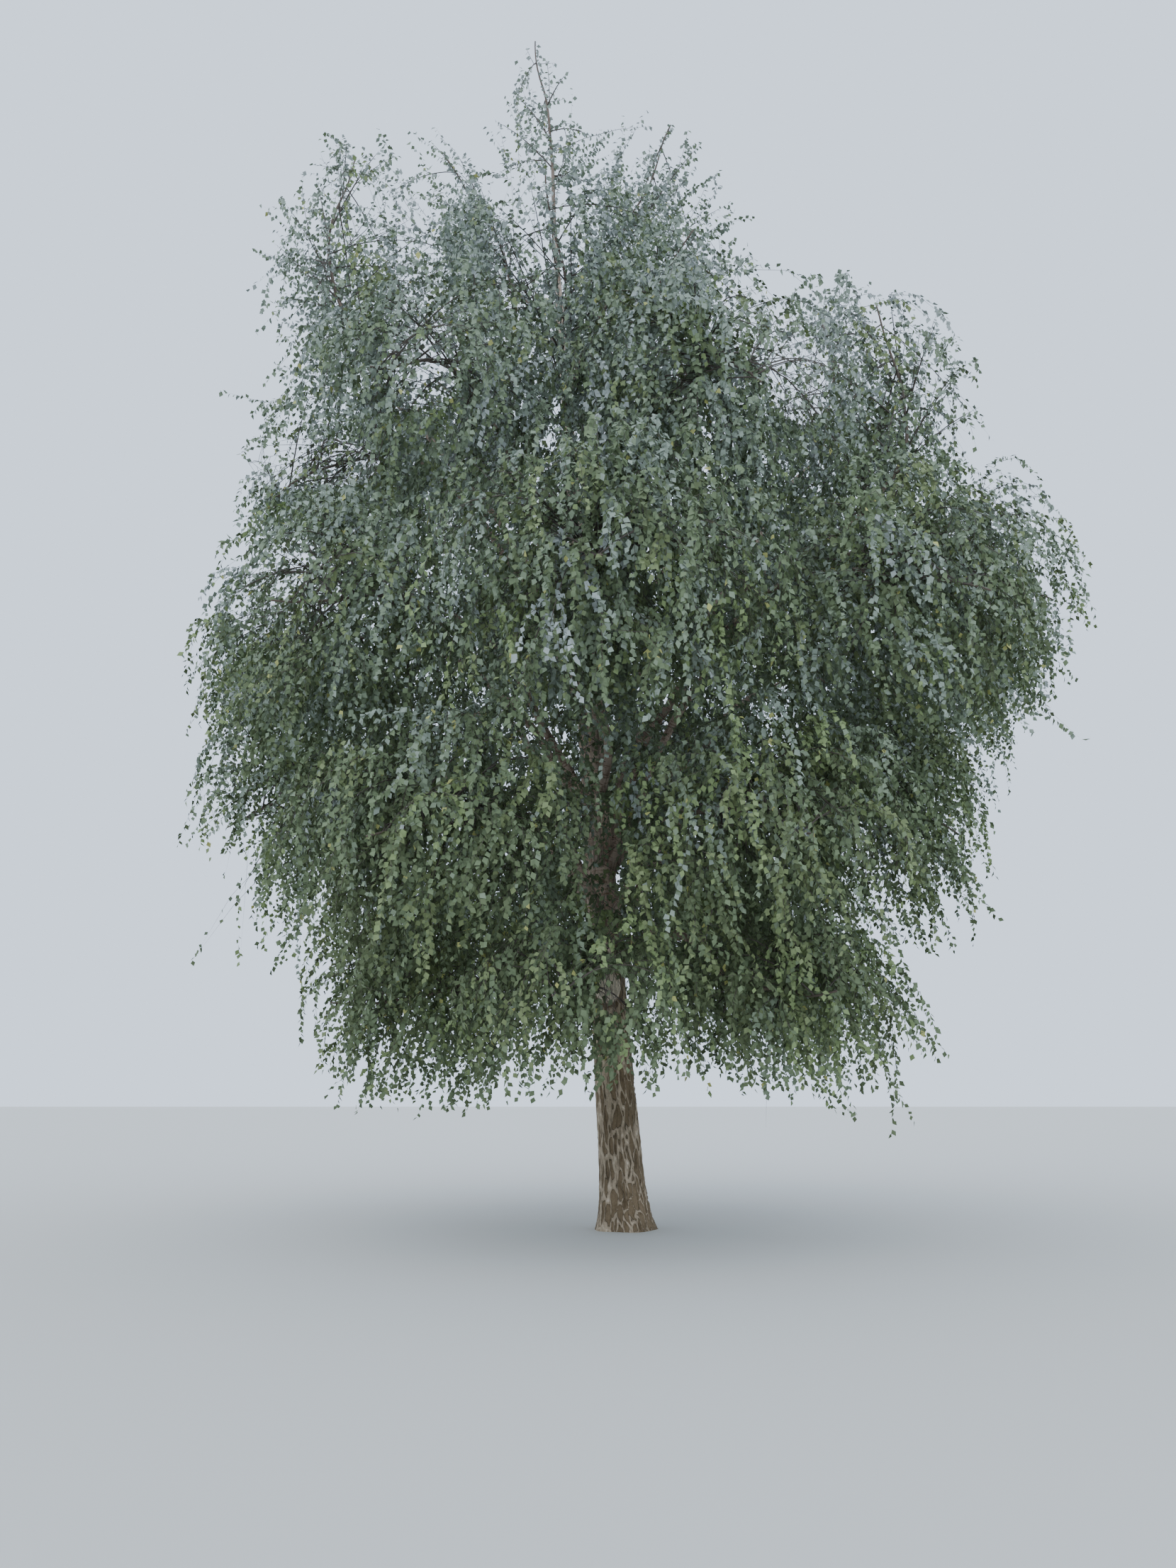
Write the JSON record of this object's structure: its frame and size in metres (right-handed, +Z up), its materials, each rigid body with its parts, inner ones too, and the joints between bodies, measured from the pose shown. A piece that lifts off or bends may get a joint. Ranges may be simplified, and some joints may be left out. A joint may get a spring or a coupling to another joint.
{
  "type": "silver birch tree",
  "caption": "Mature silver birch in summer leaf: leaning pale trunk with root flare, arching boughs and weeping masses of small leaves, rooted in level ground.",
  "frame": {"origin": "middle of the flat cut under the trunk, at ground level", "axes": "+Z up; -Y towards the viewer and +X to the right in the view that it was measured from"},
  "size_m": [10.6801, 11.2393, 16.0686],
  "materials": {
    "trunk_bark": "rough fissured bark",
    "bough_bark": "matt thin bark",
    "leaves": "satin leaf"
  },
  "bodies": {
    "root": {"trunk": "trunk_bark", "foliage_crown_tip": "leaves", "foliage_crown_right": "leaves", "foliage_crown_left": "leaves", "foliage_crown_back": "leaves", "foliage_upper_front": "leaves", "foliage_upper_front_right": "leaves", "foliage_upper_back_left": "leaves", "bough_upper_left": "bough_bark", "foliage_upper_left": "leaves", "bough_upper_right": "bough_bark", "foliage_upper_right": "leaves", "bough_high_right": "bough_bark", "foliage_high_right": "leaves", "bough_high_back_right": "bough_bark", "foliage_high_back_right": "leaves", "bough_high_back": "bough_bark", "foliage_high_back": "leaves", "bough_high_left": "bough_bark", "foliage_high_left": "leaves", "bough_high_front_left": "bough_bark", "foliage_high_front_left": "leaves", "bough_high_front_right": "bough_bark", "foliage_high_front_right": "leaves", "bough_mid_right": "bough_bark", "foliage_mid_right": "leaves", "bough_mid_front_right": "bough_bark", "foliage_mid_front_right": "leaves", "bough_mid_front": "bough_bark", "foliage_mid_front": "leaves", "bough_mid_front_left": "bough_bark", "foliage_mid_front_left": "leaves", "bough_mid_left": "bough_bark", "foliage_mid_left": "leaves", "bough_mid_back_left": "bough_bark", "foliage_mid_back_left": "leaves", "bough_mid_back": "bough_bark", "foliage_mid_back": "leaves", "bough_mid_back_right": "bough_bark", "foliage_mid_back_right": "leaves", "bough_low_right": "bough_bark", "foliage_low_right": "leaves", "bough_low_front_right": "bough_bark", "foliage_low_front_right": "leaves", "bough_low_front_left": "bough_bark", "foliage_low_front_left": "leaves", "bough_low_left": "bough_bark", "foliage_low_left": "leaves", "bough_low_back_left": "bough_bark", "foliage_low_back_left": "leaves", "bough_low_back_right": "bough_bark", "foliage_low_back_right": "leaves", "bough_skirt_left": "bough_bark", "foliage_skirt_left": "leaves", "bough_skirt_front": "bough_bark", "foliage_skirt_front": "leaves", "bough_skirt_front_right": "bough_bark", "foliage_skirt_front_right": "leaves", "bough_skirt_right": "bough_bark", "foliage_skirt_right": "leaves"}
  },
  "joints": []
}
